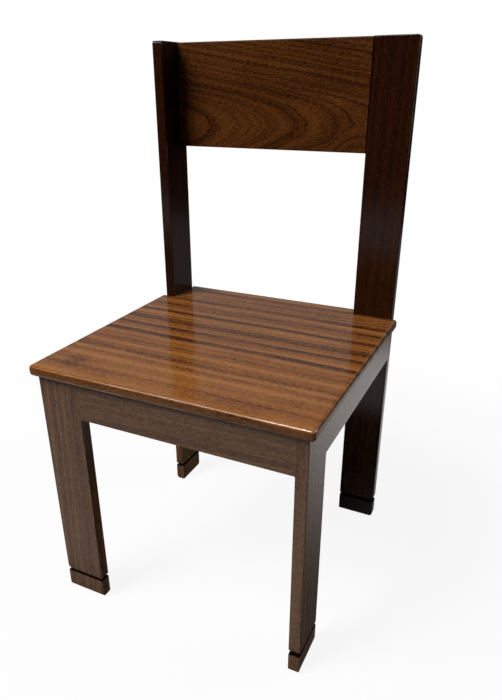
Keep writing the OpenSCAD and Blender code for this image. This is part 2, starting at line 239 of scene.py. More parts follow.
class Graph:
    """A node tree that is filled line by line."""

    def __init__(self, tree):
        self.tree = tree

    def feed(self, socket, value):
        """Links a signal to the socket, or sets the socket's own value."""
        if isinstance(value, Signal):
            self.tree.links.new(value.socket, socket)
        elif socket.type == "VECTOR" and isinstance(value, (int, float)):
            socket.default_value = (value,) * 3
        else:
            socket.default_value = value

    def add(self, kind, inputs=None, **settings):
        """New node with its settings and inputs."""
        node = self.tree.nodes.new(kind)
        node.location.x = 180 * len(self.tree.nodes)
        for name, value in settings.items():
            setattr(node, name, value)
        for key, value in (inputs or {}).items():
            self.feed(node.inputs[key], value)
        return node

    def give(self, kind, inputs=None, **settings):
        """Signals that a new node gives, by name."""
        node = self.add(kind, inputs, **settings)
        return {socket.name: Signal(self, socket) for socket in node.outputs if socket.enabled}

    def get(self, kind, inputs=None, output=None, **settings):
        """One signal that a new node gives, the first if no name is given."""
        signals = self.give(kind, inputs, **settings)
        return signals[output] if output else next(iter(signals.values()))

    def group(self, name, make, inputs):
        """Signals of a shader group, which is made the first time it is used."""
        return self.give("ShaderNodeGroup", inputs, node_tree=group_once(name, make))

    def math(self, operation, *values, clamp=False):
        """Result of a calculation with numbers."""
        return self.get("ShaderNodeMath", dict(enumerate(values)), operation=operation, use_clamp=clamp)

    def most(self, first, *others):
        """Largest of some numbers."""
        for other in others:
            first = self.math("MAXIMUM", first, other)
        return first

    def combine(self, x=0.0, y=0.0, z=0.0):
        """Vector from its three numbers."""
        return self.get("ShaderNodeCombineXYZ", {0: x, 1: y, 2: z})

    def separate(self, vector):
        """The three numbers of a vector."""
        return list(self.give("ShaderNodeSeparateXYZ", {0: vector}).values())

    def noise(self, place, detail=2.0, roughness=0.5, scale=1.0, line=False):
        """Value of a noise texture in space, or along a line, from 0 to 1."""
        inputs = {"W" if line else "Vector": place, "Scale": scale, "Detail": detail, "Roughness": roughness}
        return self.get("ShaderNodeTexNoise", inputs, noise_dimensions="1D" if line else "3D")

    def blend(self, factor, first, second):
        """Two colours mixed."""
        return self.get("ShaderNodeMix", {0: factor, 6: first, 7: second}, data_type="RGBA")

    def bump(self, height, strength, distance):
        """Normals of a surface with small bumps."""
        return self.get("ShaderNodeBump", {"Height": height, "Strength": strength, "Distance": distance})

    def coordinates(self, kind="Object"):
        """Texture coordinates."""
        return self.get("ShaderNodeTexCoord", output=kind)


def new_group(name, tree_kind, inputs, outputs):
    """Node group with its sockets, each given by its kind or by its number.

    Gives the graph, the signals of its inputs and its output node.
    """
    tree = bpy.data.node_groups.new(name, tree_kind)
    for in_out, sockets in (("INPUT", inputs), ("OUTPUT", outputs)):
        for label, value in sockets.items():
            kind = value if isinstance(value, str) else "Float"
            socket = tree.interface.new_socket(label, in_out=in_out, socket_type="NodeSocket" + kind)
            if kind is not value:
                socket.default_value = value
    graph = Graph(tree)
    return graph, graph.give("NodeGroupInput"), graph.add("NodeGroupOutput")


def group_once(name, make):
    """The node group of that name, made the first time it is asked for."""
    return bpy.data.node_groups.get(name) or make(name)


# Geometry of the boards

def named(graph, name, kind):
    """Value of a point attribute."""
    return graph.get("GeometryNodeInputNamedAttribute", {"Name": name}, data_type=kind)


def store(graph, geometry, name, kind, value, selection=True):
    """Geometry with a point attribute stored on it."""
    inputs = {"Geometry": geometry, "Selection": selection, "Name": name}
    node = graph.add("GeometryNodeStoreNamedAttribute", inputs, data_type=kind, domain="POINT")
    graph.feed(next(socket for socket in node.inputs if socket.name == "Value" and socket.enabled), value)
    return Signal(graph, node.outputs[0])


def end_tree(graph, geometry, given, result):
    """Ends a geometry tree: real geometry that has the material given."""
    real = graph.get("GeometryNodeRealizeInstances", {"Geometry": geometry})
    finished = graph.get("GeometryNodeSetMaterial", {"Geometry": real, "Material": given["Material"]})
    graph.feed(result.inputs["Geometry"], finished)
    return graph.tree


def smooth_by_turn(graph, geometry):
    """Geometry shown smooth, with its strong turns kept sharp. Faces without area have no say in it."""
    area = graph.get("GeometryNodeInputMeshFaceArea")
    turn = graph.get("GeometryNodeInputMeshEdgeAngle")
    rules = (("FACE", area, "GREATER_THAN", NO_AREA), ("EDGE", turn, "LESS_THAN", SHARP_TURN))
    for domain, value, operation, limit in rules:
        inputs = {0: value, 1: limit}
        smooth = graph.get("FunctionNodeCompare", inputs, data_type="FLOAT", operation=operation)
        inputs = {"Geometry": geometry, "Shade Smooth": smooth}
        geometry = graph.get("GeometryNodeSetShadeSmooth", inputs, domain=domain)
    return geometry


def eased_board_tree(name):
    """Thickens a flat outline into a board. Both faces' edges are eased by the outline's attributes."""
    inputs = {"Geometry": "Geometry", "Thickness": 0.018, "Wobble": 0.0001, "Material": "Material"}
    graph, given, result = new_group(name, "GeometryNodeTree", inputs, {"Geometry": "Geometry"})
    position = graph.get("GeometryNodeInputPosition")
    flat = store(graph, given["Geometry"], "rest", "FLOAT_VECTOR", position)
    halves = graph.add("GeometryNodeJoinGeometry")
    for face, side in (("outer", 1), ("inner", -1)):
        shell = board_half(graph, flat, given["Thickness"] * 0.5, face, side)
        if side < 0:
            shell = graph.get("GeometryNodeFlipFaces", {"Mesh": shell})
        graph.feed(halves.inputs[0], shell)
    inputs = {"Geometry": Signal(graph, halves.outputs[0]), "Distance": WELD}
    welded = graph.get("GeometryNodeMergeByDistance", inputs)
    inputs = {"Vector": position, "Scale": SWAY_SCALE}
    sway = graph.get("ShaderNodeTexNoise", inputs, "Color", noise_dimensions="3D") - 0.5
    sway = sway * given["Wobble"] * named(graph, "worn", "FLOAT")
    swayed = graph.get("GeometryNodeSetPosition", {"Geometry": welded, "Offset": sway})
    return end_tree(graph, smooth_by_turn(graph, swayed), given, result)


def board_half(graph, flat, half, face, side):
    """One half of a board: rings that climb from the middle plane, round the arris and onto the face."""
    rest = named(graph, "rest", "FLOAT_VECTOR")
    inset = named(graph, face + "_inset", "FLOAT_VECTOR")
    ease = named(graph, face + "_ease", "FLOAT")
    rise = half - ease
    eased = graph.math("GREATER_THAN", ease, WELD)
    rings = [(0.0, rise - STRIP, 0.0)]
    for step in range(ARC_STEPS + 1):
        angle = math.pi / 2 * step / ARC_STEPS
        rings.append((1 - math.cos(angle), ease * math.sin(angle) + rise, math.sin(2 * angle)))
    shell, top = flat, True
    for inward, level, worn in rings:
        shell, top = next_ring(graph, shell, top)
        place = rest + inset * inward + graph.combine(z=level * side)
        shell = graph.get("GeometryNodeSetPosition", {"Geometry": shell, "Selection": top, "Position": place})
        shell = store(graph, shell, "worn", "FLOAT", eased * worn, top)
    shell, top = next_ring(graph, shell, top)
    strip = inset.result("NORMALIZE", inset) * (eased * STRIP)
    shell = graph.get("GeometryNodeSetPosition", {"Geometry": shell, "Selection": top, "Offset": strip})
    return store(graph, shell, "worn", "FLOAT", 0.0, top)


def next_ring(graph, shell, top):
    """Extrudes the top face in place, and gives the shell and its new top."""
    inputs = {"Mesh": shell, "Selection": top, "Offset Scale": 0.0}
    signals = graph.give("GeometryNodeExtrudeMesh", inputs, mode="FACES")
    return signals["Mesh"], signals["Top"]


def level_at(pairs, place):
    """Height at a place along a chain of (place, height) pairs."""
    for (start, first), (end, second) in zip(pairs, pairs[1:]):
        if start <= place <= end and end > start:
            return first + (second - first) * (place - start) / (end - start)
    return pairs[-1][1]


def run(side_length, ease, flush=(), fade=0.003):
    """Easing along a side, as (place, radius) pairs. It runs out beside each flush stretch."""
    pairs = [(0, ease)]
    for start, end in flush:
        pairs += [(start - fade, ease), (start, 0), (end, 0), (end + fade, ease)]
    pairs.append((side_length, ease))
    inside = [(place, height) for place, height in pairs if 0 <= place <= side_length]
    if inside[0][0] == 0 and len(inside) > 1 and inside[1] == (0, 0):
        inside = inside[1:]
    if len(inside) > 1 and inside[-2] == (side_length, 0):
        inside = inside[:-1]
    return inside


def outline_points(corners, radii, outer, inner):
    """Points of an outline that runs anticlockwise, each with its inset and easing for both faces.

    Side number i runs from corner i. outer and inner give each side's easing as (place, radius) pairs.
    """
    count = len(corners)
    spots = [Vector(corner) for corner in corners]
    ways = [(spots[(i + 1) % count] - spots[i]).normalized() for i in range(count)]
    lengths = [(spots[(i + 1) % count] - spots[i]).length for i in range(count)]
    normals = [Vector((-way.y, way.x)) for way in ways]
    points = []
    for i in range(count):
        before, radius = i - 1, radii[i]
        ends = [(chain[before][-1][1], chain[i][0][1]) for chain in (outer, inner)]
        centre = spots[i] + radius * (normals[before] + normals[i])
        steps = ARC_STEPS if radius else 0
        for step in range(steps + 1):
            angle = math.pi / 2 * step / steps if radius else 0
            first, second = (math.cos(angle), math.sin(angle)) if radius else (1, 1)
            entry = [centre - radius * (normals[before] * first + normals[i] * second)]
            for r_before, r_after in ends:
                inset = normals[before] * (r_before * first) + normals[i] * (r_after * second)
                ease = r_before * first ** 2 + r_after * second ** 2 if radius else max(r_before, r_after)
                entry += [inset, ease]
            points.append(entry)
        stop = lengths[i] - radii[(i + 1) % count]
        breaks = {place for chain in (outer, inner) for place, _ in chain[i]}
        stretches = max(1, math.ceil((stop - radius) / STRETCH))
        breaks |= {radius + (stop - radius) * n / stretches for n in range(1, stretches)}
        for place in sorted(breaks):
            if radius + WELD < place < stop - WELD:
                entry = [spots[i] + ways[i] * place]
                for chain in (outer, inner):
                    ease = level_at(chain[i], place)
                    entry += [normals[i] * ease, ease]
                points.append(entry)
    return points


def point_attribute(mesh, label, values):
    """Stores a number or a vector on each point of the mesh."""
    is_vector = isinstance(values[0], Vector)
    layer = mesh.attributes.new(label, "FLOAT_VECTOR" if is_vector else "FLOAT", "POINT")
    for item, value in zip(layer.data, values):
        if is_vector:
            item.vector = value.to_3d()
        else:
            item.value = value


def board(name, points, thickness, wobble, material, place):
    """Board from an outline, baked by the eased board tree and put in its place."""
    mesh = bpy.data.meshes.new(name + "_outline")
    spots, *columns = zip(*points)
    mesh.from_pydata([spot.to_3d() for spot in spots], [], [list(range(len(points)))])
    labels = ("outer_inset", "outer_ease", "inner_inset", "inner_ease")
    for label, column in zip(labels, columns):
        point_attribute(mesh, label, column)
    tree = group_once("Eased board", eased_board_tree)
    values = {"Thickness": thickness, "Wobble": wobble, "Material": material}
    return baked(name, mesh, tree, values, place, ("rest", *labels))


def baked(name, mesh, tree, values, place, spent=()):
    """Plain mesh piece from a geometry node tree that runs on a source mesh."""
    source = bpy.data.objects.new(name + "_source", mesh)
    bpy.context.scene.collection.objects.link(source)
    modifier = source.modifiers.new("Shape", "NODES")
    modifier.node_group = tree
    for item in tree.interface.items_tree:
        if item.item_type == "SOCKET" and item.in_out == "INPUT" and item.name in values:
            modifier[item.identifier] = values[item.name]
    depsgraph = bpy.context.evaluated_depsgraph_get()
    result = bpy.data.meshes.new_from_object(
        source.evaluated_get(depsgraph), preserve_all_data_layers=True, depsgraph=depsgraph)
    source.modifiers.remove(modifier)
    bpy.data.objects.remove(source)
    bpy.data.meshes.remove(mesh)
    for label in spent:
        if label in result.attributes:
            result.attributes.remove(result.attributes[label])
    result.transform(place)
    result.name = name
    return linked(name, result)


def linked(name, mesh):
    """New object at the origin that holds the mesh."""
    if not mesh.polygons:
        raise RuntimeError(name + " came out empty")
    piece = bpy.data.objects.new(name, mesh)
    bpy.context.scene.collection.objects.link(piece)
    return piece


def lofted(name, rings, material, place):
    """Closed mesh through rings of points, from the lowest ring to the highest, with flat ends."""
    shape = bmesh.new()
    rows = [[shape.verts.new(point) for point in ring] for ring in rings]
    for low, high in zip(rows, rows[1:]):
        for i in range(len(low)):
            j = (i + 1) % len(low)
            shape.faces.new((low[i], low[j], high[j], high[i]))
    shape.faces.new(list(reversed(rows[0])))
    shape.faces.new(rows[-1])
    bmesh.ops.remove_doubles(shape, verts=shape.verts, dist=WELD)
    for face in shape.faces:
        face.smooth = True
    for edge in shape.edges:
        edge.smooth = edge.calc_face_angle(0) < SHARP_TURN
    mesh = bpy.data.meshes.new(name)
    shape.to_mesh(mesh)
    shape.free()
    mesh.materials.append(material)
    mesh.transform(place)
    return mesh


def corner_place(k):
    """Matrix of frame corner k: X runs along side k away from the corner, and Y inwards."""
    x, y = CORNERS[k]
    return Matrix.Translation((x, y, 0)) @ Matrix.Rotation(math.pi / 2 * k, 4, "Z")


def upright_board(k, node, points, thickness, sizes, wood, slot):
    """Finished board that stands up on side k, with its outer face in the frame's side plane."""
    middle = Matrix.Translation((0, thickness / 2, 0))
    place = corner_place(k) @ middle @ Matrix.Rotation(math.pi / 2, 4, "X")
    finish(board(node + "_board", points, thickness, sizes.wobble, wood, place), slot, node)


def finish(piece, slot, *nodes):
    """Hangs a finished piece under the chair's root, and hides the nodes of the construction model that it
    stands for.
    """
    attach(piece, "root")
    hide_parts(*nodes)


def refinish(node, material):
    """Gives a node of the construction model its material."""
    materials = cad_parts[node].data.materials
    materials.clear()
    materials.append(material)


# Shader groups

def timber_figure(name):
    """Growth rings, flecks and fibres of sawn timber, whose grain runs along X."""
    inputs = {
        "Vector": "Vector", "Light": "Color", "Middle": "Color", "Dark": "Color", "Apex": "Vector",
        "Taper": 0.02, "Blunt": 0.01, "Squareness": 2.0, "Wander": 0.004, "Band Width": 0.008, "Bands": 0.6,
        "Flecks": 0.4, "Fibres": 0.4, "Clouds": 0.3, "Rings": 0.0, "Ring Gap": 0.01, "Ring Place": 0.0,
        "Stripes": 0.2, "Stripe Width": 0.012, "Stripe Start": -1.0,
        "Knot": "Vector", "Knot Size": 0.02, "Knot Lift": 0.0, "Knot Tone": 0.0, "Seed": 0.0,
    }
    graph, given, result = new_group(name, "ShaderNodeTree", inputs, {"Color": "Color", "Fibre": "Float"})
    vector = given["Vector"]
    moved = vector + graph.combine(3.1, 1.7, 2.3) * given["Seed"]
    warp = (graph.noise(moved * (5.0, 22.0, 22.0)) - 0.5) * given["Wander"]
    along, across, deep = graph.separate(vector - given["Apex"])

    # The field is the same along each growth ring, and arches round the apex
    squareness = given["Squareness"]
    spread = (abs(across) ** squareness + given["Blunt"] ** squareness) ** (1.0 / squareness)
    field = along * given["Taper"] + spread + warp + deep * 0.4
    reach = graph.get("ShaderNodeVectorMath", {0: vector, 1: given["Knot"]}, operation="DISTANCE")
    knot = (reach / given["Knot Size"]).stretch(0.0, 1.0, 1.0, 0.0)
    field = field + knot * given["Knot Lift"]

    # Fine layers, whose scales are in strokes a metre
    bands = graph.noise(field / given["Band Width"] + given["Seed"], 4.0, 0.62, line=True).stretch(0.3, 0.7)
    moved_along, strand = graph.separate(moved)[0], across + warp
    fleck_place = graph.combine(moved_along * 150.0, strand * 600.0, deep * 500.0)
    fleck = graph.noise(fleck_place, 3.0, 0.7).stretch(0.32, 0.68)
    fibre = graph.noise(graph.combine(moved_along * 22.0, strand * 1400.0, deep * 1000.0), 3.0, 0.6)
    cloud = graph.noise(moved * (7.0, 16.0, 16.0))
    level = 0.5 - knot * given["Knot Tone"]
    for layer, label in ((bands, "Bands"), (fleck, "Flecks"), (fibre, "Fibres"), (cloud, "Clouds")):
        level = level + (layer - 0.5) * given[label]

    # Dark ribbons, which begin at the stripe start, and thin dark rings
    ribbon = graph.noise(field / given["Stripe Width"] + 7.3, line=True).stretch(0.42, 0.72)
    ribbon = ribbon * cloud.stretch(0.3, 0.65, 0.3, 1.0)
    started = graph.separate(vector)[1] - given["Stripe Start"]
    ribbon = ribbon * started.stretch(-0.06, 0.06, 0.12, 1.0)
    half_gap = given["Ring Gap"] * 0.5
    ring = graph.math("PINGPONG", field - given["Ring Place"], half_gap) / half_gap
    ring = ring.stretch(0.0, 0.13, 1.0, 0.0) * cloud.stretch(0.3, 0.6, 0.35, 1.0)
    level = level - ribbon * given["Stripes"] - ring * given["Rings"]

    low = graph.math("MULTIPLY", level, 2.0, clamp=True)
    high = graph.math("MULTIPLY_ADD", level, 2.0, -1.0, clamp=True)
    mixed = graph.blend(low, given["Dark"], given["Middle"])
    graph.feed(result.inputs["Color"], graph.blend(high, mixed, given["Light"]))
    graph.feed(result.inputs["Fibre"], fibre)
    return graph.tree


def open_pores(name):
    """Mask of the short dark pores that lie open along the grain, which runs along X."""
    inputs = {"Vector": "Vector", "Length": 0.006, "Width": 0.0016, "Share": 0.4}
    graph, given, result = new_group(name, "ShaderNodeTree", inputs, {"Mask": "Float"})
    size = graph.combine(given["Length"], given["Width"], given["Width"])
    inputs = {"Vector": given["Vector"] / size, "Scale": 1.0}
    cells = graph.give("ShaderNodeTexVoronoi", inputs, voronoi_dimensions="3D", feature="F1")
    near = cells["Distance"].stretch(0.14, 0.3, 1.0, 0.0)
    kept = graph.math("LESS_THAN", graph.separate(cells["Color"])[0], given["Share"])
    graph.feed(result.inputs["Mask"], near * kept)
    return graph.tree


def edge_wear(name):
    """Mask of the places where hands and brooms have rubbed the eased edges."""
    inputs = {"Vector": "Vector", "Amount": 0.5}
    graph, given, result = new_group(name, "ShaderNodeTree", inputs, {"Mask": "Float"})
    worn = graph.get("ShaderNodeAttribute", output="Fac", attribute_name="worn")
    patches = graph.noise(given["Vector"], 3.0, 0.6, 38.0).stretch(0.35, 0.75)
    rubbed = graph.math("MULTIPLY", worn * patches, given["Amount"], clamp=True)
    graph.feed(result.inputs["Mask"], rubbed)
    return graph.tree


# Materials

# How each timber's figure runs: the apex of its arches, measured from the board's middle along and
# across the grain, how fast the arches taper, how blunt they are, and how strong each layer is
PLAIN_FIGURE = {
    "Apex": (0, 0.2, 0), "Taper": 0.03, "Blunt": 0.01, "Wander": 0.012, "Band Width": 0.01, "Bands": 0.45,
    "Flecks": 0.65, "Fibres": 0.9, "Clouds": 0.6, "Stripes": 0.15, "Stripe Width": 0.008,
}
RAIL_FIGURE = {
    "Apex": (0.0, -0.045, 0), "Taper": 0.15, "Blunt": 0.045, "Squareness": 2.6, "Wander": 0.01,
    "Band Width": 0.006, "Bands": 0.4, "Flecks": 0.7, "Fibres": 0.8, "Clouds": 0.9,
    "Stripes": 0.2, "Stripe Width": 0.004, "Rings": 0.34, "Ring Gap": 0.01365, "Ring Place": 0.0593,
    "Knot": (0.15, -0.08, 0), "Knot Size": 0.05, "Knot Lift": 0.01,
}
SEAT_FIGURE = {
    "Apex": (0, -0.6, 0), "Taper": 0.01, "Blunt": 0.01, "Wander": 0.01, "Band Width": 0.02, "Bands": 0.5,
    "Flecks": 0.5, "Fibres": 0.4, "Clouds": 0.7, "Stripes": 0.85, "Stripe Width": 0.016,
    "Stripe Start": -0.06, "Knot": (-0.171, -0.182, 0), "Knot Size": 0.03, "Knot Lift": 0.004,
    "Knot Tone": 0.35,
}
BARE_FIGURE = {
    "Apex": (0, 0.1, 0), "Taper": 0.02, "Blunt": 0.01, "Wander": 0.004, "Band Width": 0.006,
    "Bands": 0.35, "Flecks": 0.5, "Fibres": 0.4, "Clouds": 0.2, "Stripes": 0.0,
}
# Where each piece's figure starts
SEEDS = {"seat": 2.0, "legs": 5.0, "aprons": 11.0, "rail": 17.0, "feet": 23.0, "blocks": 31.0, "dowels": 41.0}

# Roughness, index of refraction, weight of the coat and roughness of the coat
LACQUER = (0.55, 1.05, 0.65, 0.14)
SHEEN = (0.55, 1.05, 0.15, 0.25)
POLISH = (0.5, 1.05, 1.0, 0.12)
SAWN = (0.7, 1.3, 0.0, 0.1)
# Figure and gloss of each wood
WOODS = {
    "seat": (SEAT_FIGURE, POLISH),
    "frame": (PLAIN_FIGURE, LACQUER),
    "post": (PLAIN_FIGURE, LACQUER),
    "rail": (RAIL_FIGURE, SHEEN),
    "foot": (PLAIN_FIGURE, LACQUER),
    "bare": (BARE_FIGURE, SAWN),
}

# Black that paints shade into the wood, in a foot's shadow gap and along the seat's edge
SHADE_BLACK = (0.0, 0.0, 0.0, 1)
# Half the height over which a post's tones change
TONE_FADE = 0.02
# Where the painted shade of a foot's neck and shadow gap begins and is full, below the neck's foot, and its
# strength
GAP_SHADE_START, GAP_SHADE_FULL, GAP_SHADE = 0.0011, 0.0005, 0.94
# Where the painted shade along a flat board's edge is full and where it ends, from the faces, how
# much duller than darker it is, and its share on the seat
EDGE_SHADE_FULL, EDGE_SHADE_END, EDGE_SHADE_DULL, SEAT_EDGE_SHADE = 0.0045, 0.0015, 1.2, 0.5


def new_material(name):
    """Material with an empty graph."""
    material = bpy.data.materials.new(name)
    return material, empty_graph(material)


def empty_graph(owner):
    """Empty graph of a material or world."""
    owner.use_nodes = True
    owner.node_tree.nodes.clear()
    return Graph(owner.node_tree)


def shade(graph, inputs):
    """Ends a material's graph with its shader."""
    shader = graph.get("ShaderNodeBsdfPrincipled", inputs)
    graph.add("ShaderNodeOutputMaterial", {"Surface": shader})


def board_vector(graph, low, high, grain, across):
    """Coordinates on a board, from its middle: X along the grain, Y across it and Z through the board."""
    through = Vector(grain).cross(Vector(across))
    turn = Matrix((grain, across, through)).transposed().to_euler()
    inputs = {"Vector": graph.coordinates(), "Location": (low + high) / 2, "Rotation": turn}
    return graph.get("ShaderNodeMapping", inputs, vector_type="TEXTURE")


def tones_of(colours, wood):
    """Light, middle and dark tone of a wood."""
    return [(*getattr(colours, wood + "_" + part), 1) for part in TONE_NAMES]


def timber(colours, wood, node, grain, across, seed, recess=None, lower=None, edge_shade=0.0):
    """Material of one of the woods, for the board that stands for a node of the construction model.

    Above the height recess, measured along the grain from the middle, the wood is painted dark, as the
    shade in a foot's shadow gap, and loses its coat. lower holds a height along the grain and the wood
    whose tones show below it. The share given last is how much darker a board that lies flat is painted
    along its edge, as shade, and how much duller its coat is there.
    """
    material, graph = new_material(node + "_finish")
    figure, (roughness, index, coat, coat_roughness) = WOODS[wood]
    low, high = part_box(node)
    vector = board_vector(graph, low, high, grain, across)
    along, _, deep = graph.separate(vector)
    tones = tones_of(colours, wood)
    light, _, dark = tones
    if lower:
        height, lower_wood = lower
        above = along.stretch(height - TONE_FADE, height + TONE_FADE)
        tones = [graph.blend(above, *pair) for pair in zip(tones_of(colours, lower_wood), tones)]
    inputs = {"Vector": vector, "Seed": seed, **dict(zip(("Light", "Middle", "Dark"), tones)), **figure}
    figured = graph.group("Timber figure", timber_figure, inputs)
    pores = graph.group("Open pores", open_pores, {"Vector": vector})["Mask"]
    wear = graph.group("Edge wear", edge_wear, {"Vector": vector})["Mask"]
    base = graph.blend(wear * 0.5, graph.blend(pores * 0.5, figured["Color"], dark), light)
    coated = (pores * (-0.8 * coat) + coat) * (wear * -1.5 + 1.0)
    if recess is not None:
        # Painted shade: the neck and shadow gap above a foot block are painted dark and lose their coat
        gap_shade_mask = along.stretch(recess - GAP_SHADE_START, recess - GAP_SHADE_FULL)
        base = graph.blend(gap_shade_mask * GAP_SHADE, base, SHADE_BLACK)
        coated = coated * (1.0 - gap_shade_mask)
    # Painted shade: a darker band, with a duller coat, along the edge of a board that lies flat
    if edge_shade:
        half = (high.z - low.z) / 2
        edge = deep.stretch(half - EDGE_SHADE_FULL, half - EDGE_SHADE_END, edge_shade, 0.0)
        edge = edge * deep.stretch(EDGE_SHADE_END - half, EDGE_SHADE_FULL - half)
        base = graph.blend(edge, base, SHADE_BLACK)
        coated = coated * (edge * -EDGE_SHADE_DULL + 1.0)
    fibre = figured["Fibre"]
    shade(graph, {
        "Base Color": base,
        "Roughness": fibre * 0.16 + (roughness - 0.08) + wear * 0.1,
        "IOR": index,
        "Coat Weight": coated,
        "Coat Roughness": coat_roughness,
        "Normal": graph.bump(fibre * 0.3 - pores, 0.25, 0.0002),
    })
    return material


def steel(name, colours):
    """Bright zinc-plated steel with faint turning marks."""
    material, graph = new_material(name)
    haze = graph.noise(graph.coordinates(), 3.0, 0.6, 900.0)
    dull = tuple(level * 0.7 for level in colours.steel)
    shade(graph, {
        "Base Color": graph.blend(haze.stretch(0.3, 0.7), (*dull, 1), (*colours.steel, 1)),
        "Roughness": haze * 0.2 + 0.22,
        "Metallic": 1.0,
        "Normal": graph.bump(haze, 0.15, 0.0001),
    })
    return material


# Stage

# Half the width of the floor, and where the lights stand and how wide they are
FLOOR_HALF = 6.0
KEY_PLACE, KEY_SIZE = Vector((-2.1, -2.69, 4.06)), 2.3
FILL_PLACE, FILL_SIZE = Vector((2.6, 1.5, 1.3)), 2.0
WINDOW_PLACE, WINDOW_SIZE = Vector((-0.8, -2.98, 4.48)), 1.6
LIGHT_TARGET = Vector((0, 0, 0.4))
# The main light that gloss shows is a little smaller, and in front of the one that lights
GLOSS_SIZE, GLOSS_SHARE = 2.25, 0.98
# Share of its colour that the floor throws on the chair
FLOOR_BOUNCE = 0.3


class CHAIR_OT_stage(bpy.types.Operator):
    """Makes the floor, the lights, the surroundings and the camera"""
    bl_idname = "chair.stage"
    bl_label = "Stage"

    def execute(self, context):
        stage = context.scene.chair_stage
        make_camera(stage)
        make_floor(stage)
        make_lights(stage)
        make_surroundings(stage)
        context.scene.view_settings.view_transform = "Standard"
        return {"FINISHED"}


def make_camera(stage):
    """Camera at the photograph's viewing angle."""
    data = bpy.data.cameras.new("camera")
    data.sensor_width = 36
    data.lens = stage.lens
    data.shift_x, data.shift_y = stage.shift
    camera = bpy.data.objects.new("camera", data)
    bpy.context.scene.collection.objects.link(camera)
    camera.location = stage.camera_place
    level = Vector(stage.camera_aim).to_track_quat("-Z", "Y")
    camera.rotation_euler = (level @ Quaternion((0, 0, 1), stage.roll)).to_euler()
    bpy.context.scene.camera = camera


def mirror_share(graph, rays):
    """1 for a ray that comes from a mirror or through glass, and 0 for others."""
    return graph.most(rays["Is Glossy Ray"], rays["Is Transmission Ray"])


def floor_gloss(graph, place, away, ray_length):
    """How bright gloss shows each place on the floor: light near the chair, and dim further away. It
    paints the reflections of a pool of light beside and before the chair, with the chair's shadow under it.
    """
    sideways, depth, _ = graph.separate(place)
    beside = depth.stretch(-0.1, 0.65, 0.08, 0.95) * sideways.stretch(0.1, 0.3, 0.1, 1.0)
    front = depth.stretch(-0.3, -0.2, 0.65, 0.0)
    # A bright strip before the front legs, which paints a reflection into the seat's front edge: only
    # rays as long as those from that edge see it
    strip = depth.stretch(-0.5, -0.3, 0.0, 1.3) * depth.stretch(-0.24, -0.18, 1.0, 0.0)
    strip = strip * ray_length.stretch(0.36, 0.46) * sideways.stretch(-0.06, 0.02, 1.0, 0.0)
    near = graph.most(front + strip, beside) * away.stretch(0.9, 1.5, 1.0, 0.0)
    # A bright band far in front, which paints a hazy reflection on the back posts, and a dim one far behind
    far_front = depth.stretch(-3.6, -2.5, 0.0, 0.5) * depth.stretch(-2.3, -1.7, 1.0, 0.0)
    far_rear = depth.stretch(0.0, 1.0, 0.0, 0.2) * depth.stretch(2.4, 3.2, 1.0, 0.0)
    return graph.most(near, far_front, far_rear)


def make_floor(stage):
    """Pale floor that the camera sees as white, apart from the chair's shadow."""
    mesh = bpy.data.meshes.new("floor")
    corners = ((-1, -1), (1, -1), (1, 1), (-1, 1))
    mesh.from_pydata([(x * FLOOR_HALF, y * FLOOR_HALF, 0) for x, y in corners], [], [(0, 1, 2, 3)])
    floor = linked("floor", mesh)
    material, graph = new_material("floor_finish")
    rays = graph.give("ShaderNodeLightPath")
    seen = rays["Is Camera Ray"]
    mirrored = mirror_share(graph, rays)
    bounced = tuple(level * FLOOR_BOUNCE for level in stage.floor)
    tint = graph.blend(seen, (*bounced, 1), (*stage.floor, 1))
    place = graph.coordinates()
    away = graph.get("ShaderNodeVectorMath", {0: place}, operation="LENGTH")
    whitened = seen * away.stretch(0.4, 1.3, 0.9, 1.0)
    gloss = floor_gloss(graph, place, away, rays["Ray Length"])
    pale = graph.get("ShaderNodeBsdfDiffuse", {"Color": tint})
    level = graph.most(seen, gloss * mirrored)
    white = graph.get("ShaderNodeEmission", {"Color": (1, 1, 1, 1), "Strength": level})
    mixed = graph.get("ShaderNodeMixShader", {0: graph.most(whitened, mirrored), 1: pale, 2: white})
    graph.add("ShaderNodeOutputMaterial", {"Surface": mixed})
    mesh.materials.append(material)


def area_light(name, power, size, place, diffuse=True, glossy=True):
    """Square soft light that faces the chair, for matt surfaces, glossy ones or both."""
    data = bpy.data.lights.new(name, "AREA")
    data.energy = power
    data.size = size
    light = bpy.data.objects.new(name, data)
    light.visible_diffuse = diffuse
    light.visible_glossy = glossy
    light.location = place
    light.rotation_euler = (LIGHT_TARGET - place).to_track_quat("-Z", "Y").to_euler()
    bpy.context.scene.collection.objects.link(light)


def make_lights(stage):
    """Soft main light from high up at the front left, and a weak one from the right, behind the chair.

    Gloss shows the main light weaker than it lights, so that the seat doesn't turn white from any side,
    and a smaller window beside it.
    """
    area_light("key_light", stage.key_power, KEY_SIZE, KEY_PLACE, glossy=False)
    area_light("key_gloss", stage.key_gloss, GLOSS_SIZE, KEY_PLACE * GLOSS_SHARE, diffuse=False)
    area_light("window_gloss", stage.window_gloss, WINDOW_SIZE, WINDOW_PLACE, diffuse=False)
    area_light("fill_light", stage.fill_power, FILL_SIZE, FILL_PLACE)


def make_surroundings(stage):
    """World that lights evenly, is white where the camera sees it, and grey in mirrors behind the chair."""
    world = bpy.data.worlds.new("surroundings")
    graph = empty_graph(world)
    rays = graph.give("ShaderNodeLightPath")
    _, depth, rise = graph.separate(graph.coordinates("Generated"))
    behind = depth.stretch(-0.2, 0.5, 0.0, 0.24) * rise.stretch(0.02, 0.25)
    mirrored = mirror_share(graph, rays)
    strength = (1.0 - mirrored) * stage.ambient + mirrored * behind
    inputs = {"Color": (1, 1, 1, 1), "Strength": graph.most(rays["Is Camera Ray"], strength)}
    graph.add("ShaderNodeOutputWorld", {"Surface": graph.get("ShaderNodeBackground", inputs)})
    bpy.context.scene.world = world


# Pieces

def settings_of(context):
    """The sizes and colours that the scene holds."""
    return context.scene.chair_sizes, context.scene.chair_colours


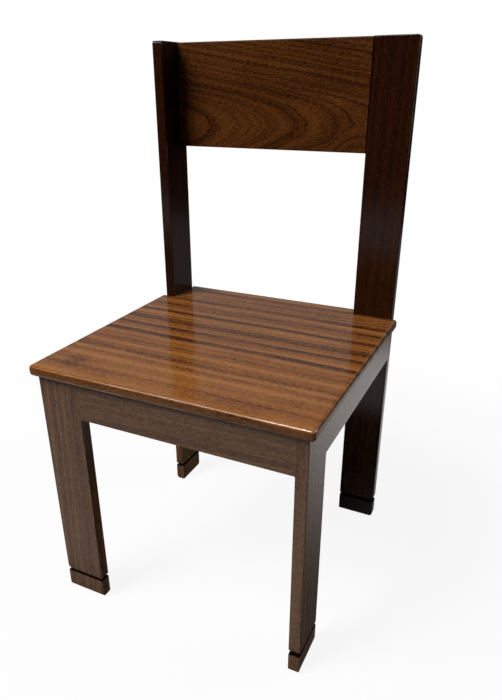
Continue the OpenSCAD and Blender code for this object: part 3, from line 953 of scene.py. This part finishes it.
class CHAIR_OT_seat(bpy.types.Operator):
    """Makes the seat slab, with rounded edges and a notch round each post"""
    bl_idname = "chair.seat"
    bl_label = "Seat"

    def execute(self, context):
        sizes, colours = settings_of(context)
        low, high = SEAT_LOW, SEAT_HIGH
        near, far = PLANK + sizes.notch_room, PLANK_WIDTHS[REAR_RIGHT] + sizes.notch_room
        right_x, right_y = POST_HIGH.x - far, POST_HIGH.y - near
        left_x, left_y = LEG_LOW.x + near, POST_HIGH.y - far
        corners = [(low.x, low.y), (high.x, low.y), (high.x, right_y), (right_x, right_y),
                   (right_x, high.y), (left_x, high.y), (left_x, left_y), (low.x, left_y)]
        radii = [sizes.seat_corner] * 2 + [0] * 6
        edge, notch = sizes.seat_edge, sizes.notch_ease
        eases = [[(0, ease), (1, ease)] for ease in (edge, edge, notch, notch, edge, notch, notch, edge)]
        points = outline_points(corners, radii, eases, eases)
        # The seat's rounded edge is painted darker, as shade
        wood = timber(colours, "seat", "seat", ALONG_X, ALONG_Y, SEEDS["seat"], edge_shade=SEAT_EDGE_SHADE)
        place = Matrix.Translation((0, 0, (low.z + high.z) / 2))
        piece = board("seat_slab", points, high.z - low.z, sizes.wobble, wood, place)
        finish(piece, "seat_wood", "seat")
        return {"FINISHED"}


def leg_points(k, top, sizes):
    """Outline of the leg or post at corner k. Its edges are flush where an apron or the rail meets them."""
    width, height = PLANK_WIDTHS[k], top - LEG_BASE
    corners = [(0, LEG_BASE), (width, LEG_BASE), (width, top), (0, top)]
    apron = (APRON_BASE - LEG_BASE, SEAT_BASE - LEG_BASE)
    rail = (RAIL_LOW.z + sizes.rail_edge - LEG_BASE, RAIL_HIGH.z - sizes.rail_edge - LEG_BASE)
    is_post = top > SEAT_BASE + WELD
    ease, fade = sizes.arris, sizes.fade
    inner_flush = [apron, rail] if k == REAR_RIGHT else [apron]
    outside_flush = [apron, rail] if k == REAR_LEFT else [apron]
    from_top = [(height - end, height - start) for start, end in reversed(outside_flush)]
    bottom = run(width, ease)
    upper = run(width, ease if is_post else 0)
    beside = run(height, ease, inner_flush, fade)
    outer = [bottom, beside, upper, run(height, ease)]
    inner = [bottom, beside, upper, run(height, ease, from_top, fade)]
    top_radii = [0, 0]
    if is_post:
        top_radii = [sizes.arris if k == REAR_RIGHT else sizes.post_corner, sizes.post_corner]
    return outline_points(corners, [sizes.leg_end, sizes.arris] + top_radii, outer, inner)


class CHAIR_OT_legs(bpy.types.Operator):
    """Makes the two front legs and the two back posts"""
    bl_idname = "chair.legs"
    bl_label = "Legs and posts"

    def execute(self, context):
        sizes, colours = settings_of(context)
        seat_height = SEAT_BASE - (POST_LOW.z + POST_TOP) / 2
        # Above the seat the posts show the post wood's dark tones, painted shade. Below it the back right
        # post shows the rail's darker tones, painted shade under the seat, and the back left one the frame's
        lower = {REAR_RIGHT: (seat_height, "rail"), REAR_LEFT: (seat_height, "frame")}
        for k, corner in enumerate(CORNER_NAMES):
            kind, name, top = ("post", "post", POST_TOP) if k in lower else ("leg", "frame", SEAT_BASE)
            node = corner + "_" + kind
            wood = timber(colours, name, node, UP, SIDE_AXES[k], SEEDS["legs"] + k, lower=lower.get(k))
            upright_board(k, node, leg_points(k, top, sizes), PLANK, sizes, wood, "frame_wood")
        return {"FINISHED"}


def rail_ends(k):
    """Where an apron or the back rail starts and ends along side k."""
    return PLANK_WIDTHS[k], SIDE_LENGTHS[k] - PLANK


def rail_points(k, base, top, lower, upper):
    """Outline of an apron or the back rail, with square ends and its own easing below and above."""
    start, end = rail_ends(k)
    corners = [(start, base), (end, base), (end, top), (start, top)]
    height, span = top - base, end - start
    eases = [run(span, lower), run(height, 0), run(span, upper), run(height, 0)]
    return outline_points(corners, [0] * 4, eases, eases)


class CHAIR_OT_aprons(bpy.types.Operator):
    """Makes the four aprons under the seat"""
    bl_idname = "chair.aprons"
    bl_label = "Aprons"

    def execute(self, context):
        sizes, colours = settings_of(context)
        for k, side in enumerate(("front", "right", "rear", "left")):
            node = side + "_apron"
            wood = timber(colours, "frame", node, SIDE_AXES[k], UP, SEEDS["aprons"] + k)
            points = rail_points(k, APRON_BASE, SEAT_BASE, sizes.arris, 0)
            upright_board(k, node, points, PLANK, sizes, wood, "frame_wood")
        return {"FINISHED"}


class CHAIR_OT_rail(bpy.types.Operator):
    """Makes the wide back rail between the two posts"""
    bl_idname = "chair.rail"
    bl_label = "Back rail"

    def execute(self, context):
        sizes, colours = settings_of(context)
        wood = timber(colours, "rail", "back_rail", ALONG_X, UP, SEEDS["rail"])
        points = rail_points(REAR_RIGHT, RAIL_LOW.z, RAIL_HIGH.z, sizes.rail_edge, sizes.rail_edge)
        thickness = RAIL_HIGH.y - RAIL_LOW.y
        upright_board(REAR_RIGHT, "back_rail", points, thickness, sizes, wood, "rail_wood")
        return {"FINISHED"}


def plan_ring(x0, x1, y0, y1, radius, z):
    """Points of a rectangle with rounded corners at height z, anticlockwise seen from above."""
    points = []
    steps = ARC_STEPS
    turns = [(x0, y0, 1, 1, 180), (x1, y0, -1, 1, 270), (x1, y1, -1, -1, 0), (x0, y1, 1, -1, 90)]
    for x, y, inward_x, inward_y, start in turns:
        centre = Vector((x + inward_x * radius, y + inward_y * radius, z))
        way_in = Matrix.Rotation(math.radians(start), 3, "Z") @ Vector((0, -STRIP, 0))
        way_out = Matrix.Rotation(math.radians(start + 90), 3, "Z") @ Vector((0, STRIP, 0))
        arc = [centre + radius * Vector((math.cos(a), math.sin(a), 0))
               for a in (math.radians(start + 90 * step / steps) for step in range(steps + 1))]
        points += [arc[0] + way_in] + arc + [arc[-1] + way_out]
    return points


def foot_rings(width, sizes):
    """Rings of a foot block and its neck, from the floor up. X and Y start at the frame's outside."""
    block = LEG_BASE - sizes.foot_gap
    outer, inner, arris = sizes.foot_outer, sizes.foot_inner, sizes.arris
    quarter = [math.pi / 2 * step / ARC_STEPS for step in range(ARC_STEPS + 1)]
    levels = {radius * (1 - math.cos(angle)) for radius in (outer, inner) for angle in quarter}
    levels |= {block - arris * (1 - math.cos(angle)) for angle in quarter}
    levels |= {outer + STRIP, block - arris - STRIP}

    def inset(radius, height):
        if height >= radius:
            return 0
        return radius - math.sqrt(max(0, radius ** 2 - (radius - height) ** 2))

    rings = []
    for z in sorted(levels):
        upper = inset(arris, block - z)
        near, far = inset(outer, z) + upper, inset(inner, z) + upper
        corner = max(arris - upper, WELD)
        rings.append(plan_ring(near, width - far, near, PLANK - far, corner, z))
    side = (PLANK - sizes.neck_width) / 2
    for z in (block, LEG_BASE):
        rings.append(plan_ring(sizes.neck_inset, width - sizes.neck_inset, side, PLANK - side, STRIP, z))
    return rings


class CHAIR_OT_feet(bpy.types.Operator):
    """Makes the four foot blocks, each with its neck"""
    bl_idname = "chair.feet"
    bl_label = "Feet"

    def execute(self, context):
        sizes, colours = settings_of(context)
        # Above this height each foot's neck and shadow gap are painted dark, as shade
        recess = LEG_BASE / 2 - sizes.foot_gap
        for k, corner in enumerate(CORNER_NAMES):
            # The back right foot shows the post wood's dark tones, painted shade under the chair
            node, name = corner + "_foot", "post" if k == REAR_RIGHT else "foot"
            wood = timber(colours, name, node, UP, SIDE_AXES[k], SEEDS["feet"] + k, recess=recess)
            mesh = lofted(node + "_block", foot_rings(PLANK_WIDTHS[k], sizes), wood, corner_place(k))
            finish(linked(node + "_block", mesh), "foot_wood", node)
        return {"FINISHED"}


class CHAIR_OT_blocks(bpy.types.Operator):
    """Gives the corner blocks under the seat their bare wood"""
    bl_idname = "chair.blocks"
    bl_label = "Corner blocks"

    def execute(self, context):
        _, colours = settings_of(context)
        for k, corner in enumerate(CORNER_NAMES):
            node = corner + "_corner_block"
            refinish(node, timber(colours, "bare", node, UP, SIDE_AXES[k], SEEDS["blocks"] + k))
        return {"FINISHED"}


def fastener_tree(name):
    """Sets a copy of a fastener on every point, aimed along the point's aim and stretched to its length."""
    inputs = {"Geometry": "Geometry", "Fastener": "Object", "Material": "Material"}
    graph, given, result = new_group(name, "GeometryNodeTree", inputs, {"Geometry": "Geometry"})
    aim = {"Vector": named(graph, "aim", "FLOAT_VECTOR")}
    inputs = {
        "Points": graph.get("GeometryNodeMeshToPoints", {"Mesh": given["Geometry"]}),
        "Instance": graph.get("GeometryNodeObjectInfo", {"Object": given["Fastener"]}, "Geometry"),
        "Rotation": graph.get("FunctionNodeAlignRotationToVector", aim, axis="Z"),
        "Scale": graph.combine(1.0, 1.0, named(graph, "stretch", "FLOAT")),
    }
    return end_tree(graph, graph.get("GeometryNodeInstanceOnPoints", inputs), given, result)


def fasteners(name, places, pattern, material):
    """Piece made of one pattern mesh, set at each (start, direction, stretch) of places."""
    starts, directions, stretches = zip(*places)
    mesh = bpy.data.meshes.new(name + "_places")
    mesh.from_pydata(starts, [], [])
    point_attribute(mesh, "aim", directions)
    point_attribute(mesh, "stretch", stretches)
    holder = linked(name + "_pattern", pattern)
    values = {"Fastener": holder, "Material": material}
    tree = group_once("Fasteners on points", fastener_tree)
    piece = baked(name, mesh, tree, values, Matrix.Identity(4), ("aim", "stretch"))
    bpy.data.objects.remove(holder)
    return piece


# Shares of a dowel's radius and length that its chamfered ends have, and points for each flute
TIP_SHARE, CHAMFER_SHARE, FLUTE_POINTS = 0.76, 0.022, 4
# Shares of the apron's height, the rail's height and a leg's width at which the dowels lie
APRON_SHARES = (0.25, 0.75)
RAIL_SHARES = (0.15, 0.5, 0.85)
FOOT_SHARES = (0.25, 0.75)


def dowel_pattern(sizes, material):
    """Fluted dowel one metre long, from z = 0, with chamfered ends that suit its real length."""
    full = sizes.dowel_width / 2
    tip = full * TIP_SHARE
    count = sizes.flutes * FLUTE_POINTS
    rings = []
    for radius, z in ((tip, 0), (full, CHAMFER_SHARE), (full, 1 - CHAMFER_SHARE), (tip, 1)):
        ring = []
        for i in range(count):
            angle = 2 * math.pi * i / count
            reach = radius - (sizes.flute_depth if i % FLUTE_POINTS == 0 else 0)
            ring.append((math.cos(angle) * reach, math.sin(angle) * reach, z))
        rings.append(ring)
    return lofted("dowel_pattern", rings, material, Matrix.Identity(4))


def dowel_place(k, start, direction, span):
    """Start, aim and length of a dowel that is given at corner k."""
    place = corner_place(k)
    return place @ Vector(start), place.to_3x3() @ Vector(direction), span


def end_dowels(k, height, sizes):
    """The two dowels at one height of the apron or rail on side k."""
    start, end = rail_ends(k)
    depth, reach = PLANK / 2, sizes.dowel_edge
    return [dowel_place(k, (start - reach, depth, height), ALONG_X, 2 * reach),
            dowel_place(k, (end - reach, depth, height), ALONG_X, reach + sizes.dowel_face)]


class CHAIR_OT_dowels(bpy.types.Operator):
    """Makes the fluted dowels of the aprons, the back rail and the feet"""
    bl_idname = "chair.dowels"
    bl_label = "Dowels"

    def execute(self, context):
        sizes, colours = settings_of(context)
        aprons, rails, feet = [], [], []
        foot_base = LEG_BASE - sizes.foot_gap - sizes.dowel_foot
        foot_span = sizes.dowel_foot + sizes.foot_gap + sizes.dowel_edge
        for k, width in enumerate(PLANK_WIDTHS):
            for share in APRON_SHARES:
                aprons += end_dowels(k, APRON_BASE + share * (SEAT_BASE - APRON_BASE), sizes)
            for share in FOOT_SHARES:
                feet.append(dowel_place(k, (share * width, PLANK / 2, foot_base), UP, foot_span))
        for share in RAIL_SHARES:
            rails += end_dowels(REAR_RIGHT, RAIL_LOW.z + share * (RAIL_HIGH.z - RAIL_LOW.z), sizes)
        for node, places, grain, across in (("apron_dowels", aprons, ALONG_X, UP),
                                            ("rail_dowels", rails, ALONG_X, UP),
                                            ("foot_dowels", feet, UP, ALONG_X)):
            wood = timber(colours, "bare", node, grain, across, SEEDS["dowels"])
            piece = fasteners(node + "_fluted", places, dowel_pattern(sizes, wood), wood)
            finish(piece, "dowel_wood", node)
        return {"FINISHED"}


class CHAIR_OT_screws(bpy.types.Operator):
    """Gives the screws of the corner blocks and the seat their steel"""
    bl_idname = "chair.screws"
    bl_label = "Screws"

    def execute(self, context):
        _, colours = settings_of(context)
        for node in ("corner_block_screws", "seat_screws"):
            refinish(node, steel(node + "_finish", colours))
        return {"FINISHED"}


OPERATORS = [CHAIR_OT_stage, CHAIR_OT_seat, CHAIR_OT_legs, CHAIR_OT_aprons, CHAIR_OT_rail,
             CHAIR_OT_feet, CHAIR_OT_blocks, CHAIR_OT_dowels, CHAIR_OT_screws]
SETTINGS = {"chair_sizes": ChairSizes, "chair_colours": ChairColours, "chair_stage": ChairStage}


class CHAIR_PT_maker(bpy.types.Panel):
    """Buttons that make each part of the chair"""
    bl_idname = "CHAIR_PT_maker"
    bl_label = "Choir Chair"
    bl_space_type = "VIEW_3D"
    bl_region_type = "UI"
    bl_category = "Choir Chair"

    def draw(self, context):
        for operator in OPERATORS:
            self.layout.operator(operator.bl_idname)


def register():
    """Adds the settings, the operators and the panel."""
    for name, settings in SETTINGS.items():
        bpy.utils.register_class(settings)
        setattr(bpy.types.Scene, name, PointerProperty(type=settings))
    for operator in OPERATORS:
        bpy.utils.register_class(operator)
    bpy.utils.register_class(CHAIR_PT_maker)


def unregister():
    """Removes what register added."""
    bpy.utils.unregister_class(CHAIR_PT_maker)
    for operator in reversed(OPERATORS):
        bpy.utils.unregister_class(operator)
    for name, settings in SETTINGS.items():
        delattr(bpy.types.Scene, name)
        bpy.utils.unregister_class(settings)


def main():
    register()
    for operator in OPERATORS:
        group, name = operator.bl_idname.split(".")
        getattr(getattr(bpy.ops, group), name)()


if __name__ == "__main__":
    main()
